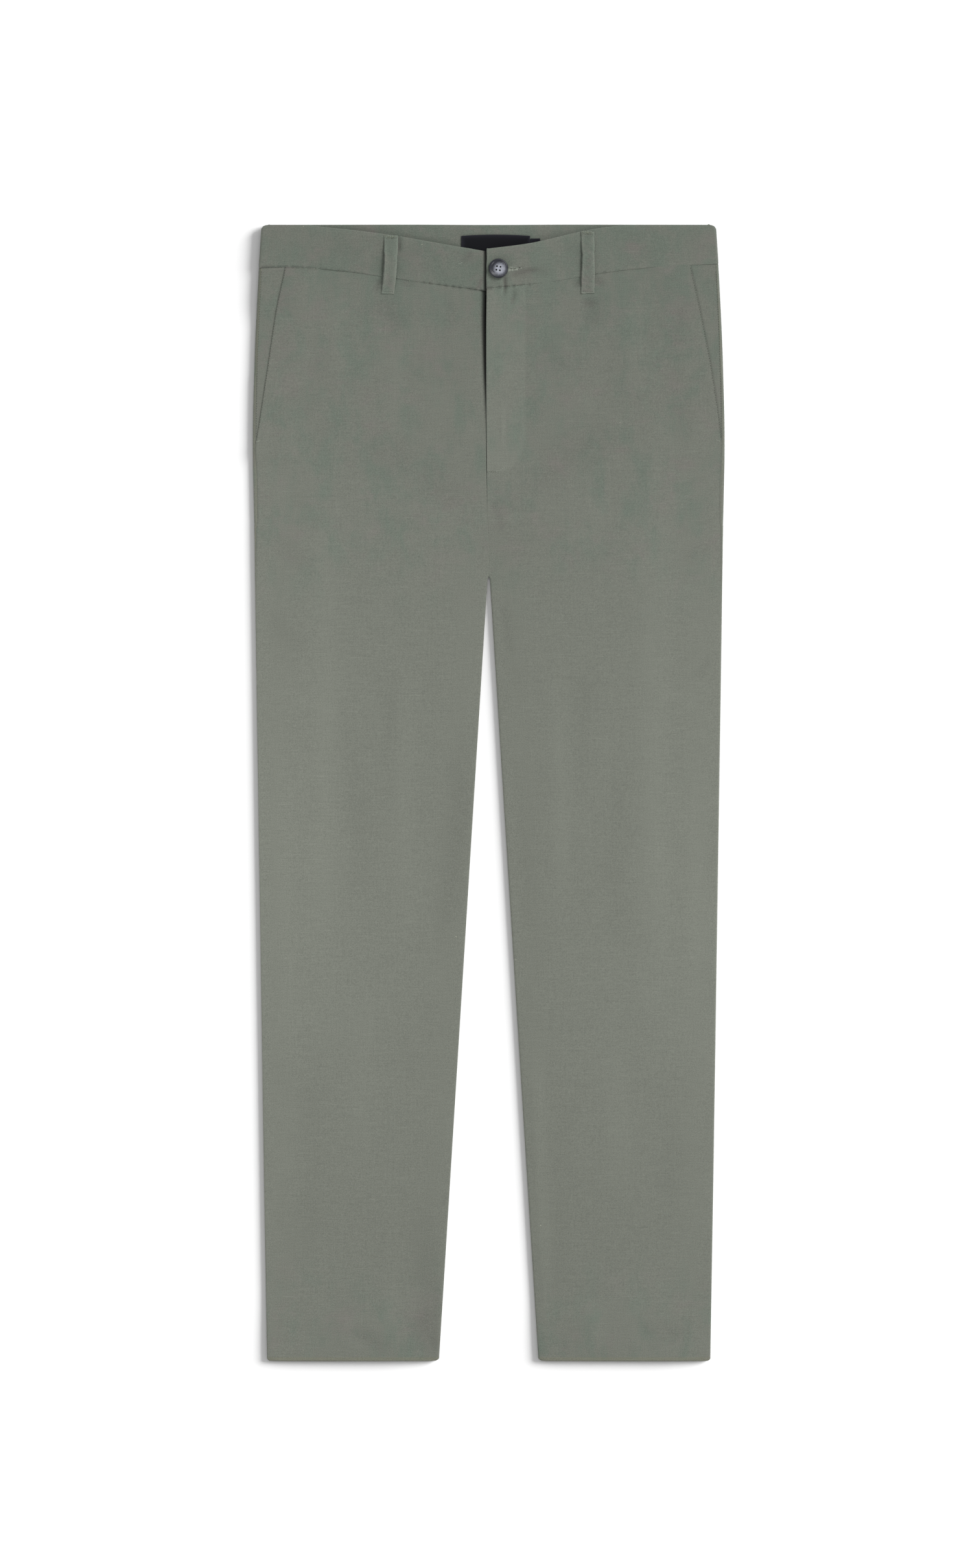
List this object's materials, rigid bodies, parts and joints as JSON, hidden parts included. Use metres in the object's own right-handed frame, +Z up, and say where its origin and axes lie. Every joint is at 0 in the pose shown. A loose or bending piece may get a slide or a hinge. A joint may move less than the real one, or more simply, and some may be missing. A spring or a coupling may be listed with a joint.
{
  "type": "linen chinos",
  "caption": "Straight-leg linen chinos laid flat, front side up, with a buttoned waistband, zip fly, slanted side pockets, belt loops and a bare woven label.",
  "frame": {"origin": "on the surface that the garment lies on, under the middle of its bounding box", "axes": "+X towards the wearer's left, +Y from the hems to the waist, +Z up from the surface, out of the garment's front"},
  "size_m": [0.4372, 1.0524, 0.012],
  "materials": {
    "linen": "plain-weave linen, matt, fine slubs, grey sage green",
    "zip_tape": "woven zip tape, matt",
    "label": "woven satin label, near-black navy, bare",
    "button": "marbled grey-blue resin, polished"
  },
  "bodies": {
    "root": {"back_panel_left": "linen", "back_panel_right": "linen", "front_panel_left": "linen", "front_panel_right": "linen", "pocket_facing_left": "linen", "pocket_facing_right": "linen", "fly_shield": "linen", "fly_zip": "zip_tape", "waistband_left": "linen", "waistband_right": "linen", "waist_button": "button", "belt_loop_front_left": "linen", "belt_loop_front_right": "linen", "belt_loop_back_left": "linen", "belt_loop_back_right": "linen", "belt_loop_back_centre": "linen", "label_main": "label", "label_size": "label"}
  },
  "joints": []
}
